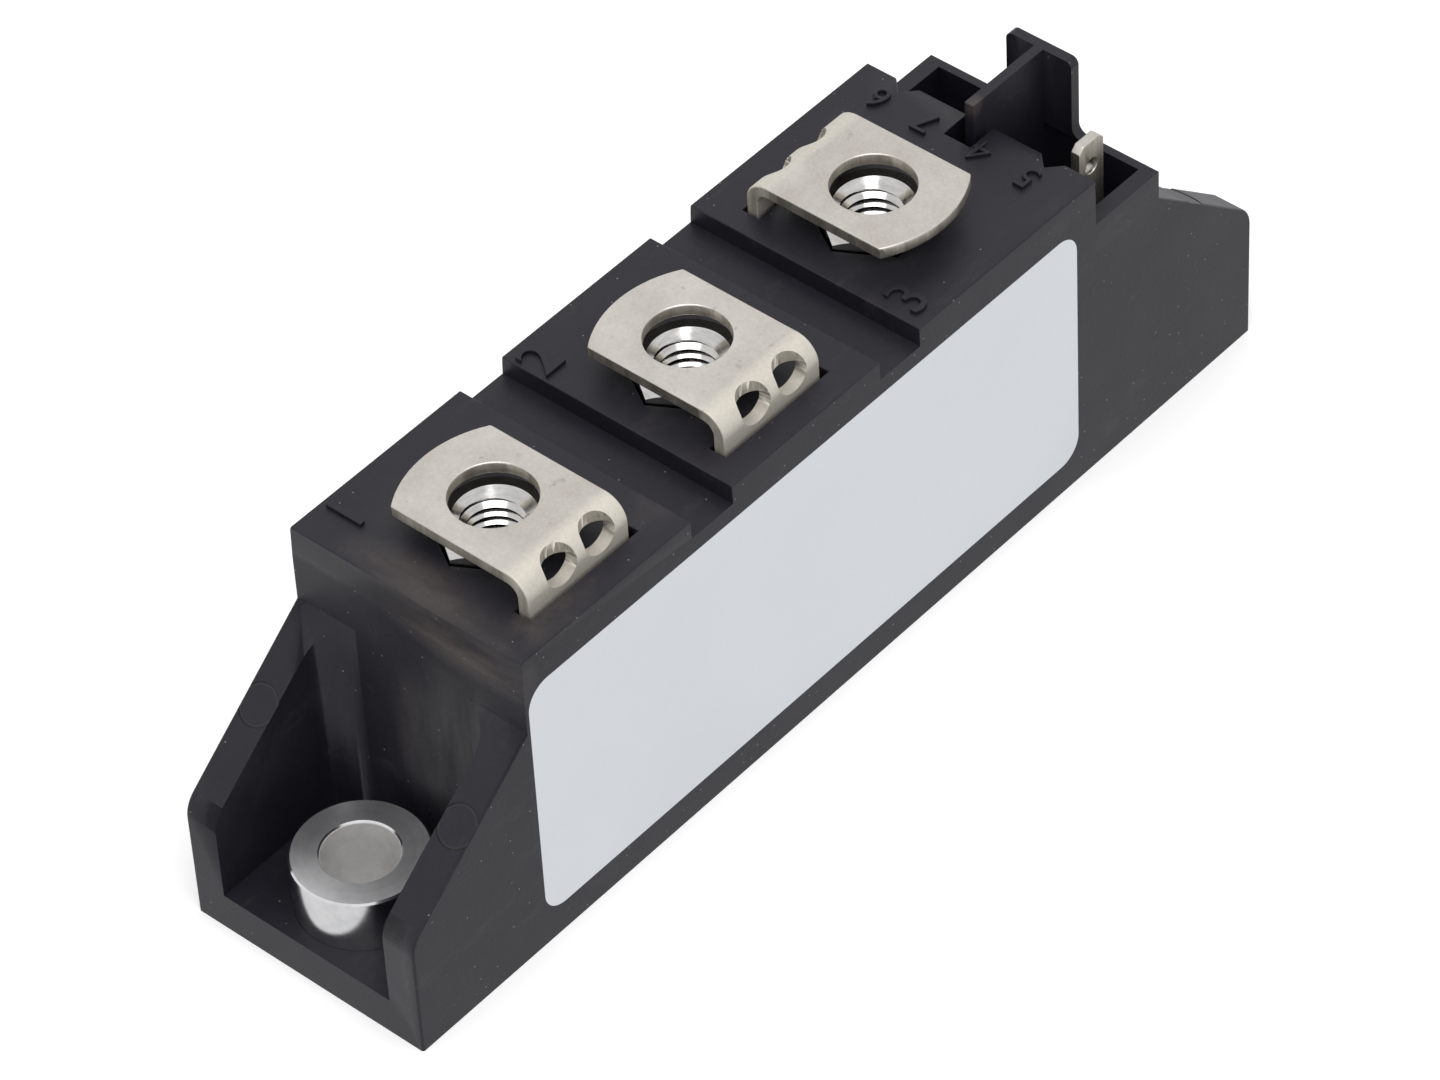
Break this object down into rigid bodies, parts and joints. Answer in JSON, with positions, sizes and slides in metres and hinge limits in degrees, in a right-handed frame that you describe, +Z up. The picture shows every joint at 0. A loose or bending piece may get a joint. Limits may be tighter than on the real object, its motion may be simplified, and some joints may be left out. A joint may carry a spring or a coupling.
{
  "type": "power diode module",
  "caption": "Bolt-down power diode module: black moulded case with screw terminals in a row on top, a blade tab behind a barrier and a bushed mounting hole at each end.",
  "frame": {"origin": "centre of the bottom face that lies on the heat sink", "axes": "+Z up away from the heat sink, +X along the module to the blade tab end, -Y to the side with the label"},
  "size_m": [0.092, 0.0212, 0.0305],
  "materials": {
    "housing_plastic": "black glass-filled moulding with a fine grain",
    "turned_bush": "turned and plated",
    "nut_steel": "plated",
    "plated_strip": "satin nickel plate",
    "label_film": "blank satin film",
    "alumina": "matt white ceramic",
    "copper": "bare copper",
    "silicon": "polished chip",
    "solder": "dull solder",
    "silicone_gel": "soft clear gel",
    "potting_resin": "black cast resin",
    "adhesive": "grey silicone adhesive"
  },
  "bodies": {
    "root": {"housing": "housing_plastic", "bush_terminal_end": "turned_bush", "bush_blade_end": "turned_bush", "terminal_1": "plated_strip", "terminal_2": "plated_strip", "terminal_3": "plated_strip", "terminal_nuts": "nut_steel", "blade_tab": "plated_strip", "side_label": "label_film", "base_copper": "copper", "ceramic_plate": "alumina", "common_track": "copper", "positive_track": "copper", "negative_track": "copper", "chip_solder_1": "solder", "chip_solder_2": "solder", "diode_chip_1": "silicon", "diode_chip_2": "silicon", "contact_clip_1": "copper", "contact_clip_2": "copper", "adhesive_bead": "adhesive", "silicone_gel": "silicone_gel", "casting_resin": "potting_resin"}
  },
  "joints": []
}
